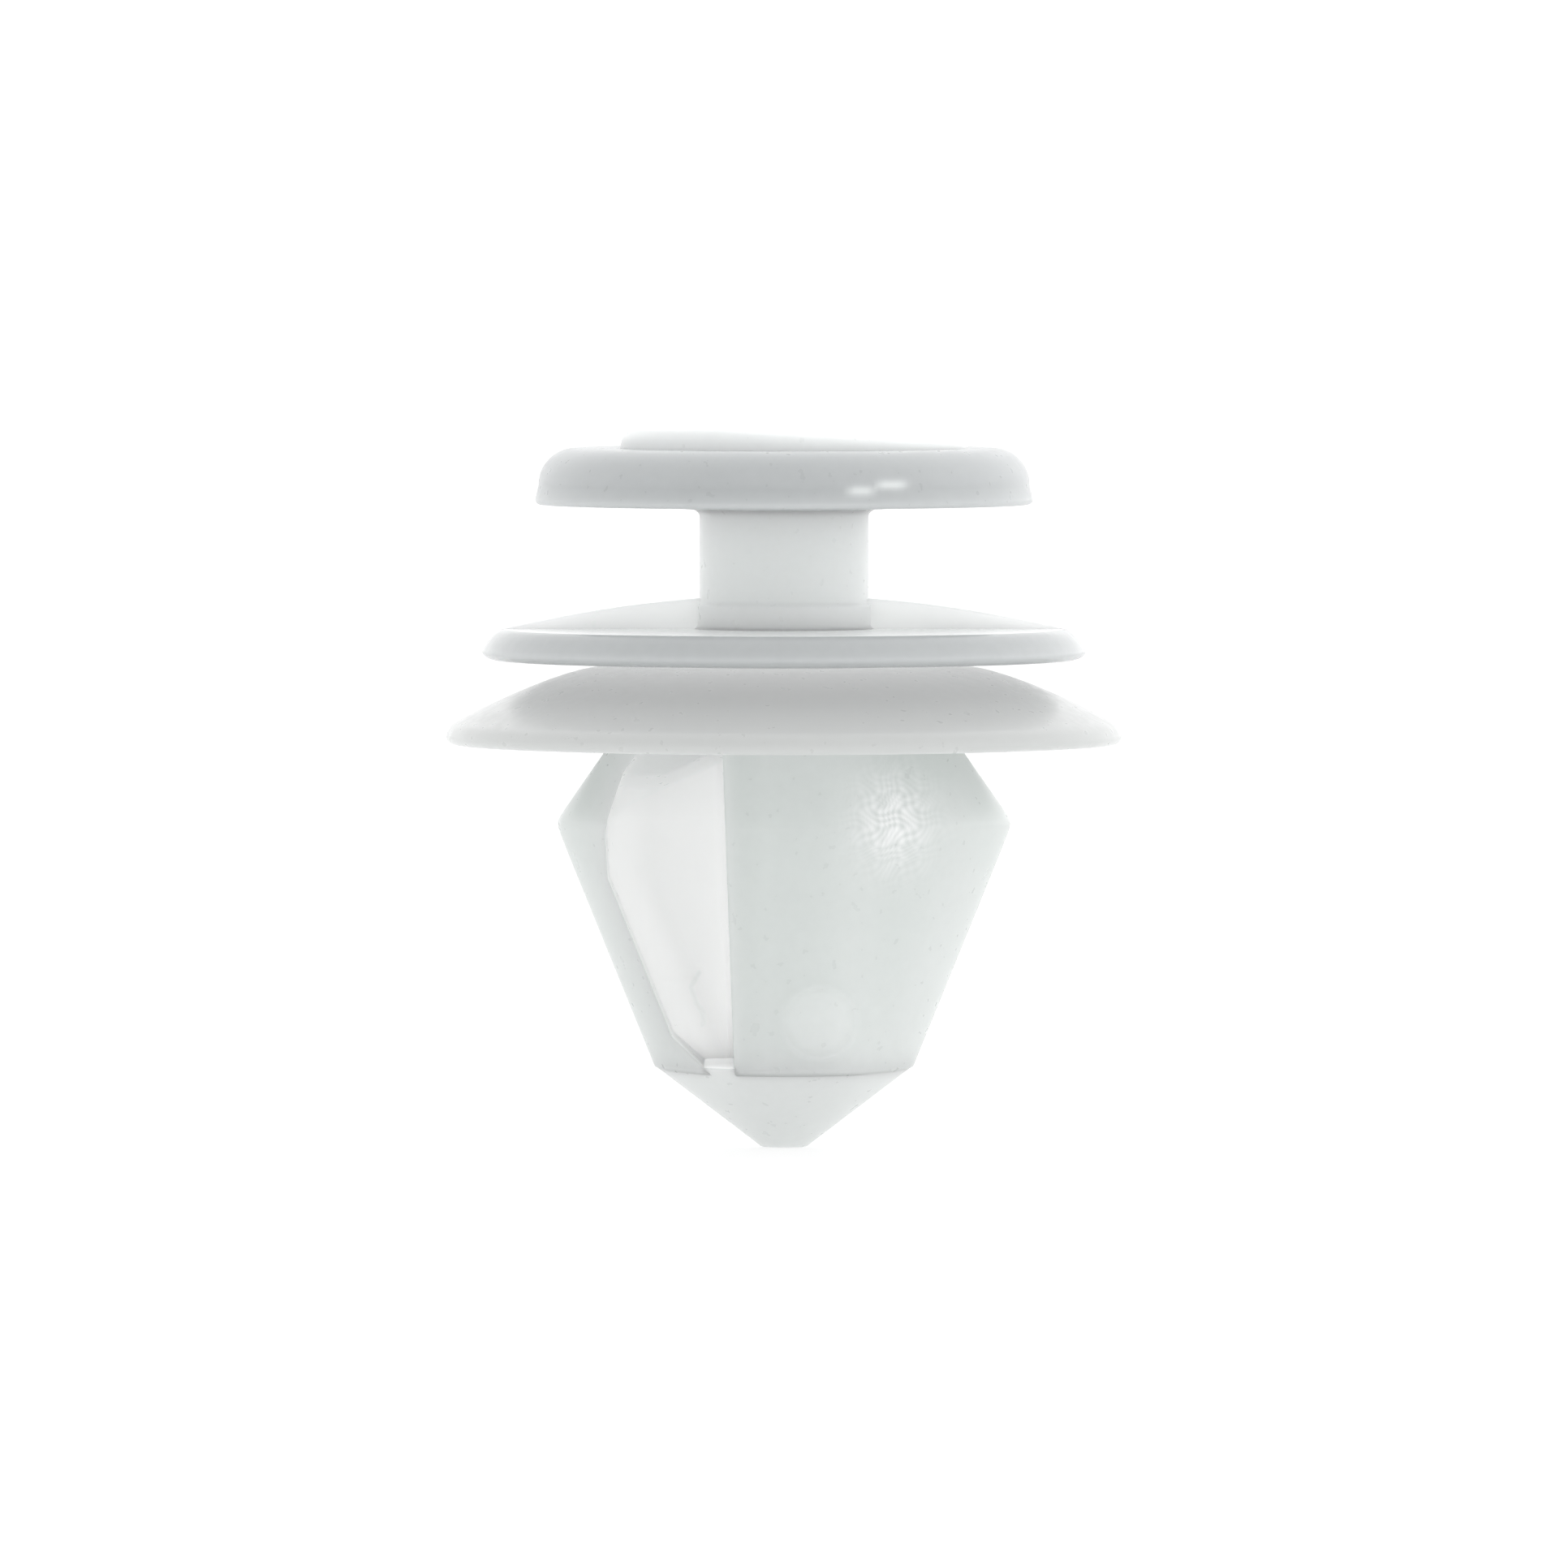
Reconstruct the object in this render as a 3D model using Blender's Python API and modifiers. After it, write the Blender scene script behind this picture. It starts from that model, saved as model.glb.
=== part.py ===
"""Push-in panel clip: a round head on a neck, a braced flange, an umbrella skirt and a barbed anchor.

One moulding in natural polyamide, built as its working members. Metres, +Z up. The origin is on the
clip's axis, in the plane of the skirt's lip, which is the face of the sheet that the clip snaps into.
"""

import math

import bmesh
import bpy
from mathutils import Matrix, Vector

MM = 0.001

# Head: the disc that hooks behind the trim's slot, with a raised lead-in ramp on it
HEAD_DIAMETER = 15.0
HEAD_THICKNESS = 1.7
HEAD_TOP_ROUND = 1.1
HEAD_DRAFT = 0.1
HEAD_UNDERSIDE_FALL = 0.16
HEAD_SEAT_INNER_RADIUS = 5.2
RAMP_HIGH_MARGIN = 1.34
RAMP_LOW_MARGIN = 0.7
RAMP_HIGH_HEIGHT = 0.65
RAMP_LOW_HEIGHT = 0.2
RAMP_LEVEL_LENGTH = 2.9
RAMP_DRAFT = 0.12

# Neck and upper flange: the trim's slot runs between this flange and the head
NECK_DIAMETER = 5.1
GROOVE_WIDTH = 3.74
FLANGE_DIAMETER = 18.2
FLANGE_STANDOFF = 2.54
FLANGE_THICKNESS = 0.95
FLANGE_EDGE_WIDTH = 0.8
FLANGE_EDGE_HEIGHT = 0.28
GUSSET_HEIGHT = 1.01
GUSSET_FALL = 0.0142
GUSSET_THICKNESS = 1.1
GUSSET_END_HEIGHT = 0.14

# Sealing skirt and the stem that it sits on
SKIRT_DIAMETER = 20.4
SKIRT_LIP_HEIGHT = 0.5
SKIRT_LIP_LAND = 0.4
SKIRT_SLOPE = 0.57
SKIRT_CURVE = 0.031
SKIRT_ROOT_HEIGHT = 0.75
SKIRT_SOFTNESS = 0.2
STEM_DIAMETER = 8.2
STEM_FLARE = 0.6
STEM_FLARE_HEIGHT = 0.7

# Anchor: a solid web running front to back, a wing hooked off each of its ends, and a solid nose
SHOULDER_DIAMETER = 13.66
SHOULDER_DROP = 2.35
SHOULDER_SOFTNESS = 0.16
SHOULDER_FALL = 0.7
BARREL_DEPTH = 9.8
TAPER_LENGTH = 7.32
NOSE_DIAMETER = 7.84
NOSE_LENGTH = 2.47
TIP_DIAMETER = 1.38
WEB_TOP_WIDTH = 3.72
WEB_BOTTOM_WIDTH = 3.0
WING_WALL = 1.0
LEG_WIDTH = 1.0
LEG_EXTRA_WIDTH = 0.55
POCKET_ROUND = 0.7
HINGE_DEPTH = 3.0
FLEX_GAP = 0.75

# Clearances
JOIN_GAP = 0.1
SLIDE_GAP = 0.12
HINGE_GAP = 0.2

TURN_STEPS = 48
WING_STEPS = 16

# Heights and radii that follow from the sizes above
SHOULDER_Z = -SHOULDER_DROP
NOSE_Z = SHOULDER_Z - TAPER_LENGTH
TIP_Z = NOSE_Z - NOSE_LENGTH
STEM_BOTTOM_Z = SHOULDER_Z + 2.8
WING_TOP_Z = STEM_BOTTOM_Z - FLEX_GAP
WING_BOTTOM_Z = NOSE_Z + JOIN_GAP
STEM_RADIUS = STEM_DIAMETER / 2
SKIRT_RADIUS = SKIRT_DIAMETER / 2
SKIRT_BORE_RADIUS = STEM_RADIUS + SLIDE_GAP
SKIRT_ROOT_TOP_Z = FLANGE_STANDOFF - SLIDE_GAP
FLANGE_TOP_Z = FLANGE_STANDOFF + FLANGE_THICKNESS
HEAD_BOTTOM_Z = FLANGE_TOP_Z + GROOVE_WIDTH
HEAD_TOP_Z = HEAD_BOTTOM_Z + HEAD_THICKNESS


def arc(centre, radius, start, end, count):
    """Points (r, z) along an arc, its angles in degrees from +r towards +z."""
    angles = [math.radians(start + (end - start) * i / count) for i in range(count + 1)]
    return [(centre[0] + radius * math.cos(a), centre[1] + radius * math.sin(a)) for a in angles]


def soft_min(a, b, softness):
    return (a + b - math.hypot(a - b, softness)) / 2


def skirt_top_z(radius):
    """The skirt's upper face: it climbs from the lip and levels out just under the flange."""
    inward = SKIRT_RADIUS - radius
    slope = SKIRT_LIP_HEIGHT + SKIRT_SLOPE * inward - SKIRT_CURVE * inward**2
    return soft_min(slope, SKIRT_ROOT_TOP_Z, SKIRT_SOFTNESS)


def barrel_half_width(z):
    """Half the anchor's width: the long taper below the shoulder, the short one above, blended softly."""
    shoulder = (SHOULDER_DIAMETER + SHOULDER_SOFTNESS) / 2
    lower = shoulder + (shoulder - NOSE_DIAMETER / 2) * (z - SHOULDER_Z) / TAPER_LENGTH
    upper = shoulder - SHOULDER_FALL * (z - SHOULDER_Z)
    return soft_min(lower, upper, SHOULDER_SOFTNESS)


def barrel_half_depth(z):
    """Half its size front to back, which has no shoulder: the web can't be squeezed, so it clears the hole."""
    share = min((z - NOSE_Z) / TAPER_LENGTH, 1.0)
    return NOSE_DIAMETER / 2 + (BARREL_DEPTH - NOSE_DIAMETER) / 2 * share


def web_half_width(z):
    share = (z - NOSE_Z) / (STEM_BOTTOM_Z - NOSE_Z)
    return (WEB_BOTTOM_WIDTH + (WEB_TOP_WIDTH - WEB_BOTTOM_WIDTH) * share) / 2


def leg_inner_x(z):
    """The pocket's outer wall: the wing's leg is a little wider at the shoulder."""
    extra = LEG_EXTRA_WIDTH * max(1 - abs(z - SHOULDER_Z) / 1.5, 0.0)
    return barrel_half_width(z) - LEG_WIDTH - extra


def depth_at(x, z, inset=0.0):
    """How far the barrel's oval surface, or one inset from it, is from the middle plane at this x."""
    half_width = barrel_half_width(z) - inset
    half_depth = barrel_half_depth(z) - inset
    return half_depth * math.sqrt(max(1 - (x / half_width) ** 2, 0.0))


def section_heights():
    """Heights where the anchor's sections are taken: closer together about the shoulder."""
    steps = 6
    taper = [WING_BOTTOM_Z + (SHOULDER_Z - 0.5 - WING_BOTTOM_Z) * i / steps for i in range(steps + 1)]
    shoulder = [SHOULDER_Z + offset for offset in (-0.2, 0.0, 0.2, 0.5)]
    return taper + shoulder + [(SHOULDER_Z + 0.5 + WING_TOP_Z) / 2, WING_TOP_Z]


def new_material(name, colour, roughness):
    material = bpy.data.materials.new(name)
    material.use_nodes = True
    shader = material.node_tree.nodes["Principled BSDF"]
    shader.inputs["Base Color"].default_value = (*colour, 1.0)
    shader.inputs["Roughness"].default_value = roughness
    shader.inputs["Metallic"].default_value = 0.0
    return material


def new_object(name, mesh, collection, material):
    obj = bpy.data.objects.new(name, mesh)
    if not mesh.materials:
        mesh.materials.append(material)
    collection.objects.link(obj)
    return obj


def turned(name, outline, collection, material, closed=False):
    """A solid of revolution. The outline is (r, z) in mm and runs down its outer side."""
    mesh = bpy.data.meshes.new(name)
    points = [(r * MM, 0.0, z * MM) for r, z in outline]
    edges = [(i, i + 1) for i in range(len(points) - 1)]
    if closed:
        edges.append((len(points) - 1, 0))
    mesh.from_pydata(points, edges, [])
    obj = new_object(name, mesh, collection, material)
    screw = obj.modifiers.new("Turn", "SCREW")
    screw.axis = "Z"
    screw.steps = TURN_STEPS
    screw.render_steps = TURN_STEPS
    screw.use_merge_vertices = True
    screw.merge_threshold = 1e-6
    screw.use_smooth_shade = True
    return obj


def lofted(name, rings, origin, collection, material):
    """A solid through closed rings of points in mm, lowest ring first, its origin at the given point."""
    mesh = bpy.data.meshes.new(name)
    bm = bmesh.new()
    base = Vector(origin)
    loops = [[bm.verts.new((Vector(point) - base) * MM) for point in ring] for ring in rings]
    count = len(loops[0])
    for low, high in zip(loops, loops[1:]):
        for i in range(count):
            j = (i + 1) % count
            bm.faces.new((low[i], low[j], high[j], high[i]))
    bm.faces.new(reversed(loops[0]))
    bm.faces.new(loops[-1])
    bmesh.ops.recalc_face_normals(bm, faces=bm.faces)
    bm.to_mesh(mesh)
    bm.free()
    mesh.shade_smooth()
    mesh.set_sharp_from_angle(angle=math.radians(35))
    obj = new_object(name, mesh, collection, material)
    obj.location = base * MM
    return obj


def make_head_disc(collection, material):
    radius = HEAD_DIAMETER / 2
    top_radius = radius - HEAD_DRAFT
    foot_round = 0.15
    outline = [(0.0, HEAD_TOP_Z)]
    outline += arc((top_radius - HEAD_TOP_ROUND, HEAD_TOP_Z - HEAD_TOP_ROUND), HEAD_TOP_ROUND, 90, 0, 6)
    outline += arc((radius - foot_round, HEAD_BOTTOM_Z + foot_round), foot_round, 0, -90, 2)
    outline += [
        (HEAD_SEAT_INNER_RADIUS, HEAD_BOTTOM_Z),
        (NECK_DIAMETER / 2, HEAD_BOTTOM_Z - HEAD_UNDERSIDE_FALL),
        (0.0, HEAD_BOTTOM_Z - HEAD_UNDERSIDE_FALL),
    ]
    return turned("head_disc", outline, collection, material)


def make_head_ramp(collection, material):
    """A low round plateau on the head's flat: level on its -X side, then falling gently towards +X."""
    flat_radius = HEAD_DIAMETER / 2 - HEAD_DRAFT - HEAD_TOP_ROUND
    radius = flat_radius - (RAMP_HIGH_MARGIN + RAMP_LOW_MARGIN) / 2
    offset = (RAMP_HIGH_MARGIN - RAMP_LOW_MARGIN) / 2
    level_end = offset - radius + RAMP_LEVEL_LENGTH
    fall = (RAMP_HIGH_HEIGHT - RAMP_LOW_HEIGHT) / (2 * radius - RAMP_LEVEL_LENGTH)
    foot = HEAD_TOP_Z + JOIN_GAP / 2
    top = HEAD_TOP_Z + RAMP_HIGH_HEIGHT
    bm = bmesh.new()
    bmesh.ops.create_cone(
        bm,
        cap_ends=True,
        segments=TURN_STEPS,
        radius1=radius * MM,
        radius2=(radius - RAMP_DRAFT) * MM,
        depth=(top - foot) * MM,
        matrix=Matrix.Translation((offset * MM, 0.0, (foot + top) / 2 * MM)),
    )
    cut = bmesh.ops.bisect_plane(
        bm,
        geom=bm.verts[:] + bm.edges[:] + bm.faces[:],
        plane_co=(level_end * MM, 0.0, top * MM),
        plane_no=(fall, 0.0, 1.0),
        clear_outer=True,
    )
    rim = [item for item in cut["geom_cut"] if isinstance(item, bmesh.types.BMEdge)]
    bmesh.ops.holes_fill(bm, edges=rim, sides=0)
    bmesh.ops.recalc_face_normals(bm, faces=bm.faces)
    mesh = bpy.data.meshes.new("head_ramp")
    bm.to_mesh(mesh)
    bm.free()
    mesh.shade_smooth()
    mesh.set_sharp_from_angle(angle=math.radians(35))
    return new_object("head_ramp", mesh, collection, material)


def make_neck(collection, material):
    radius = NECK_DIAMETER / 2
    low = FLANGE_TOP_Z + JOIN_GAP
    high = HEAD_BOTTOM_Z - HEAD_UNDERSIDE_FALL - JOIN_GAP
    outline = [(0.0, high), (radius, high), (radius, low), (0.0, low)]
    return turned("neck", outline, collection, material)


def make_upper_flange(collection, material):
    """A flat disc whose edge is drawn out thin: a rounded fall above and a short one below."""
    radius = FLANGE_DIAMETER / 2
    tip = FLANGE_STANDOFF + FLANGE_EDGE_HEIGHT
    outline = [(0.0, FLANGE_TOP_Z)]
    for i in range(7):
        t = i / 6
        outline.append((radius - FLANGE_EDGE_WIDTH * (1 - t), tip + (FLANGE_TOP_Z - tip) * (1 - t**2.2)))
    for i in range(1, 5):
        angle = math.radians(90 * i / 4)
        outline.append((radius - 0.5 * (1 - math.cos(angle)), tip - FLANGE_EDGE_HEIGHT * math.sin(angle)))
    outline.append((0.0, FLANGE_STANDOFF))
    return turned("upper_flange", outline, collection, material)


def gusset_outline():
    """The gusset's side: level on the flange, with a top edge that falls as a shallow curve from the neck."""
    foot = FLANGE_TOP_Z + JOIN_GAP
    crest = FLANGE_TOP_Z + GUSSET_HEIGHT
    start = NECK_DIAMETER / 2 + JOIN_GAP
    end = math.sqrt((crest - foot - GUSSET_END_HEIGHT) / GUSSET_FALL)
    steps = 8
    top = [start + (end - start) * i / steps for i in range(steps + 1)]
    return [(start, foot), (end, foot)] + [(x, crest - GUSSET_FALL * x * x) for x in reversed(top)]


def make_gusset(name, side, collection, material):
    """A thin web that braces the flange to the neck, in the plane where the mould parts."""
    half = GUSSET_THICKNESS / 2
    outline = gusset_outline()
    rings = [[(side * x, y, z) for x, z in outline] for y in (-half, half)]
    return lofted(name, rings, (0.0, 0.0, 0.0), collection, material)


def make_stem(collection, material):
    """The short round core between the flange and the anchor, flared out at its foot."""
    high = FLANGE_STANDOFF - JOIN_GAP
    outline = [
        (0.0, high),
        (STEM_RADIUS, high),
        (STEM_RADIUS, STEM_BOTTOM_Z + STEM_FLARE_HEIGHT),
        (STEM_RADIUS + STEM_FLARE, STEM_BOTTOM_Z),
        (0.0, STEM_BOTTOM_Z),
    ]
    return turned("stem", outline, collection, material)


def make_sealing_skirt(collection, material):
    """The umbrella: a thin lip with a narrow flat land, thickening up to its root on the stem."""
    steps = 8
    lip_tip = SKIRT_RADIUS - 0.12
    outline = []
    for i in range(steps + 1):
        radius = SKIRT_BORE_RADIUS + (lip_tip - SKIRT_BORE_RADIUS) * i / steps
        outline.append((radius, skirt_top_z(radius)))
    outline += [(SKIRT_RADIUS, SKIRT_LIP_HEIGHT * 0.6), (SKIRT_RADIUS, SKIRT_LIP_HEIGHT * 0.3)]
    land = SKIRT_RADIUS - 0.16
    inner = land - SKIRT_LIP_LAND
    outline += [(land, 0.0), (inner, 0.0)]
    for i in range(1, steps + 1):
        t = i / steps
        radius = inner + (SKIRT_BORE_RADIUS - inner) * t
        wall = skirt_top_z(inner) + (SKIRT_ROOT_HEIGHT - skirt_top_z(inner)) * t
        outline.append((radius, skirt_top_z(radius) - wall))
    return turned("sealing_skirt", outline, collection, material, closed=True)


def make_nose(collection, material):
    outline = [
        (0.0, NOSE_Z),
        (NOSE_DIAMETER / 2, NOSE_Z),
        (TIP_DIAMETER / 2 + 0.12, TIP_Z + 0.1),
        (TIP_DIAMETER / 2, TIP_Z),
        (0.0, TIP_Z),
    ]
    return turned("nose", outline, collection, material)


def web_ring(z):
    """The web's section: straight sides, with ends that follow the barrel's surface."""
    half = web_half_width(z)
    steps = 6
    front = [(-half + 2 * half * i / steps) for i in range(steps + 1)]
    ring = [(x, -depth_at(x, z), z) for x in front]
    return ring + [(-x, -y, z) for x, y, z in ring]


def make_centre_web(collection, material):
    low = NOSE_Z + JOIN_GAP
    high = STEM_BOTTOM_Z - JOIN_GAP
    heights = [low] + section_heights()[1:] + [high]
    return lofted("centre_web", [web_ring(z) for z in heights], (0.0, 0.0, 0.0), collection, material)


def wing_ring(z):
    """The left wing's section: a thin wall behind the pocket, then a leg that hooks forward to a free end.

    The outer points run from the leg's front end, round the left side, to the back of the web. The inner
    ones run back along the pocket: its rear wall, a rounded corner and the leg's flat inner side.
    """
    root = web_half_width(z) + HINGE_GAP
    leg = leg_inner_x(z)
    half_width = barrel_half_width(z)
    half_depth = barrel_half_depth(z)
    start = -math.acos(min(leg / half_width, 1.0))
    end = math.acos(root / half_width)
    outer = []
    for i in range(WING_STEPS + 1):
        angle = start + (end - start) * i / WING_STEPS
        outer.append((-half_width * math.cos(angle), half_depth * math.sin(angle), z))
    corner = min(POCKET_ROUND, (leg - root) * 0.6)
    rear = [root + (leg - corner - root) * i / 4 for i in range(5)]
    inner = [(-x, depth_at(x, z, WING_WALL), z) for x in rear]
    corner_y = inner[-1][1] - corner
    for i in range(1, 5):
        angle = math.radians(90 * i / 4)
        x = leg - corner + corner * math.sin(angle)
        inner.append((-x, corner_y + corner * math.cos(angle), z))
    return outer + inner


def hinge_point():
    """Where the wing's bending line crosses the shoulder's height: the line leans forward towards the nose."""
    return -(web_half_width(SHOULDER_Z) + HINGE_GAP), HINGE_DEPTH, SHOULDER_Z


def make_wings(collection, left_material, right_material):
    """The left wing hooks off the web's back end. The right one is the same, turned half round the axis."""
    rings = [wing_ring(z) for z in section_heights()]
    left = lofted("left_wing", rings, hinge_point(), collection, left_material)
    half_turn = Matrix.Rotation(math.pi, 4, "Z")
    turned_rings = [[half_turn @ Vector(point) for point in ring] for ring in rings]
    right_hinge = half_turn @ Vector(hinge_point())
    right = lofted("right_wing", turned_rings, right_hinge, collection, right_material)
    return left, right


def clear_scene():
    for obj in list(bpy.data.objects):
        bpy.data.objects.remove(obj, do_unlink=True)


def main():
    clear_scene()
    clip = bpy.data.collections.new("panel_clip")
    bpy.context.scene.collection.children.link(clip)
    thick = (0.74, 0.76, 0.76)
    plain = (0.80, 0.82, 0.81)
    thin = (0.86, 0.87, 0.87)
    make_head_disc(clip, new_material("head_disc", thick, 0.35))
    make_head_ramp(clip, new_material("head_ramp", plain, 0.35))
    make_neck(clip, new_material("neck", plain, 0.4))
    make_upper_flange(clip, new_material("upper_flange", thick, 0.3))
    make_gusset("left_gusset", -1, clip, new_material("left_gusset", thin, 0.35))
    make_gusset("right_gusset", 1, clip, new_material("right_gusset", thin, 0.35))
    make_stem(clip, new_material("stem", plain, 0.4))
    make_sealing_skirt(clip, new_material("sealing_skirt", thick, 0.35))
    make_centre_web(clip, new_material("centre_web", plain, 0.4))
    make_nose(clip, new_material("nose", plain, 0.4))
    left = new_material("left_wing", thin, 0.35)
    right = new_material("right_wing", thin, 0.35)
    make_wings(clip, left, right)


main()
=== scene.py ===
# Push-in panel clip in natural polyamide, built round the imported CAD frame.
import math

import bpy
import numpy as np
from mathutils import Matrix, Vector


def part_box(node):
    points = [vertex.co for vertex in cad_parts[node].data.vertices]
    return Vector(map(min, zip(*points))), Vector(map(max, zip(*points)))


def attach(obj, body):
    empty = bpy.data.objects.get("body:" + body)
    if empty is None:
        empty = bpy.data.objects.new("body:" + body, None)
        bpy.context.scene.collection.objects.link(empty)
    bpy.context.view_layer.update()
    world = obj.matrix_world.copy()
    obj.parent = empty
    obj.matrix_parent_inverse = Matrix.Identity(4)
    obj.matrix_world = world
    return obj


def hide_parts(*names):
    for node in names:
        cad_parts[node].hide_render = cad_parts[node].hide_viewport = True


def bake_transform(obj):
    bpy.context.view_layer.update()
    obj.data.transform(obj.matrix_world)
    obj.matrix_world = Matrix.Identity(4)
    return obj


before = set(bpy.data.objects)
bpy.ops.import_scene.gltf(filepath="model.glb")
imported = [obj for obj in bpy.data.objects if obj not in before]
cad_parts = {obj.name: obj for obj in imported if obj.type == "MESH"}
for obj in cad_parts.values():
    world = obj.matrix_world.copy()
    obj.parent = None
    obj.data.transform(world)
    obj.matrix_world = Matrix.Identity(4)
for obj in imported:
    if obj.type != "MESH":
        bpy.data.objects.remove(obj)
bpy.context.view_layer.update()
print("frame loaded:", len(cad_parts), "CAD nodes")

mm = 0.001


def boxOf(node):
    # the CAD node's lowest and highest corner, in mm
    low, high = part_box(node)
    return np.array(low) / mm, np.array(high) / mm


headBox, rampBox, neckBox = boxOf("head_disc"), boxOf("head_ramp"), boxOf("neck")
flangeBox, skirtBox, stemBox = boxOf("upper_flange"), boxOf("sealing_skirt"), boxOf("stem")
webBox, noseBox, wingBox = boxOf("centre_web"), boxOf("nose"), boxOf("left_wing")


# ---- meshes from whole arrays

def meshObject(name, points, faces, flatFaces=()):
    # points in mm and faces as lists of indices become one smooth-shaded object; flatFaces stay flat
    mesh = bpy.data.meshes.new(name)
    mesh.from_pydata((np.asarray(points) * mm).tolist(), [], faces)
    mesh.shade_smooth()
    for index in flatFaces:
        mesh.polygons[index].use_smooth = False
    mesh.update()
    piece = bpy.data.objects.new(name, mesh)
    bpy.context.scene.collection.objects.link(piece)
    return piece


def ringFaces(rows, columns):
    # quads between neighbouring closed rings of a rows x columns grid, facing out when rings run
    # anticlockwise seen from above and rows go up
    i, j = np.meshgrid(np.arange(rows - 1), np.arange(columns), indexing="ij")
    k = (j + 1) % columns
    quads = np.stack([i * columns + j, i * columns + k, (i + 1) * columns + k, (i + 1) * columns + j], -1)
    return quads.reshape(-1, 4)


def fannedRings(name, grid, poles):
    # closed rings, lowest first, joined by quads and closed by a fan of triangles to a pole at each end
    rows, steps = grid.shape[:2]
    points = np.concatenate([grid.reshape(-1, 3), poles])
    j = np.arange(steps)
    k = (j + 1) % steps
    bottomFan = np.stack([np.full(steps, rows * steps), k, j], -1)
    topFan = np.stack([np.full(steps, rows * steps + 1), (rows - 1) * steps + j, (rows - 1) * steps + k], -1)
    return meshObject(name, points, ringFaces(rows, steps).tolist() + bottomFan.tolist() + topFan.tolist())


def turnedPiece(name, profile, steps=240):
    # surface of revolution: P(s, a) = (r(s) sin a, -r(s) cos a, z(s)); the profile runs up from pole to pole
    profile = np.asarray(profile, float)
    inner = profile[1:-1]
    angle = np.linspace(0, 2 * np.pi, steps, endpoint=False)
    radius, height = inner[:, :1], inner[:, 1:2]
    grid = np.stack([radius * np.sin(angle), -radius * np.cos(angle), height + 0 * angle], -1)
    poles = np.array([[0, 0, profile[0, 1]], [0, 0, profile[-1, 1]]])
    return fannedRings(name, grid, poles)


def turnedRing(name, profile, steps=288):
    # surface of revolution of a closed profile that stays off the axis, listed clockwise in (r, z)
    profile = np.asarray(profile, float)
    angle = np.linspace(0, 2 * np.pi, steps, endpoint=False)
    radius, height = profile[:, :1], profile[:, 1:2]
    grid = np.stack([radius * np.sin(angle), -radius * np.cos(angle), height + 0 * angle], -1)
    rows = len(profile)
    i, j = np.meshgrid(np.arange(rows), np.arange(steps), indexing="ij")
    n, k = (i + 1) % rows, (j + 1) % steps
    faces = np.stack([i * steps + j, n * steps + j, n * steps + k, i * steps + k], -1)
    return meshObject(name, grid.reshape(-1, 3), faces.reshape(-1, 4).tolist())


def stackedRings(name, rings):
    # closed rings in order, each anticlockwise seen from the last one's side, joined by quads and capped flat
    rings = np.asarray(rings, float)
    rows, columns = rings.shape[:2]
    faces = ringFaces(rows, columns).tolist()
    faces.append(list(range(columns))[::-1])
    faces.append([(rows - 1) * columns + c for c in range(columns)])
    return meshObject(name, rings.reshape(-1, 3), faces, flatFaces=(len(faces) - 2, len(faces) - 1))


def verticesOf(piece):
    return np.array([vertex.co for vertex in piece.data.vertices]) / mm


def setPaintedLight(piece, values):
    # the materials read this attribute to paint light: 0 gives a piece its shaded tone, 1 its lit tone and
    # more glow; it marks thin walls drawn lit as by light carried through them, and painted glints and lit
    # patches
    attribute = piece.data.attributes.new("thinness", "FLOAT", "POINT")
    attribute.data.foreach_set("value", np.asarray(values).ravel().astype(np.float32))


def evenly(corners, spacing):
    # points along a polyline, no further apart than spacing, with every corner kept
    corners = np.asarray(corners, float)
    out = [corners[:1]]
    for a, b in zip(corners[:-1], corners[1:]):
        count = max(int(np.ceil(np.linalg.norm(b - a) / spacing)), 1)
        out.append(a + (b - a) * (np.arange(1, count + 1) / count)[:, None])
    return np.concatenate(out)


def softened(points, passes, closed=False):
    # corners rounded by repeated averaging: p becomes (p before + 2 p + p after) / 4
    points = np.array(points, float)
    for _ in range(passes):
        if closed:
            points = (np.roll(points, 1, 0) + 2 * points + np.roll(points, -1, 0)) / 4
        else:
            points[1:-1] = (points[:-2] + 2 * points[1:-1] + points[2:]) / 4
    return points


def smoothstep(t):
    t = np.clip(t, 0, 1)
    return t * t * (3 - 2 * t)


def softMin(a, b, softness):
    # the smaller of a and b, with a rounded corner where they cross
    return (a + b - np.hypot(a - b, softness)) / 2


# ---- materials

def linearColour(hexCode):
    # sRGB hex to linear red, green, blue and alpha
    parts = [int(hexCode[i:i + 2], 16) / 255 for i in (1, 3, 5)]
    return [c / 12.92 if c <= 0.04045 else ((c + 0.055) / 1.055) ** 2.4 for c in parts] + [1.0]


def addNode(tree, kind, settings=None, **links):
    # one node with its settings (attributes or input defaults) and its input links
    node = tree.nodes.new(kind)
    for key, value in (settings or {}).items():
        if key in node.inputs.keys():
            node.inputs[key].default_value = value
        else:
            setattr(node, key, value)
    for key, output in links.items():
        tree.links.new(output, node.inputs[key.replace("_", " ")])
    return node


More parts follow.
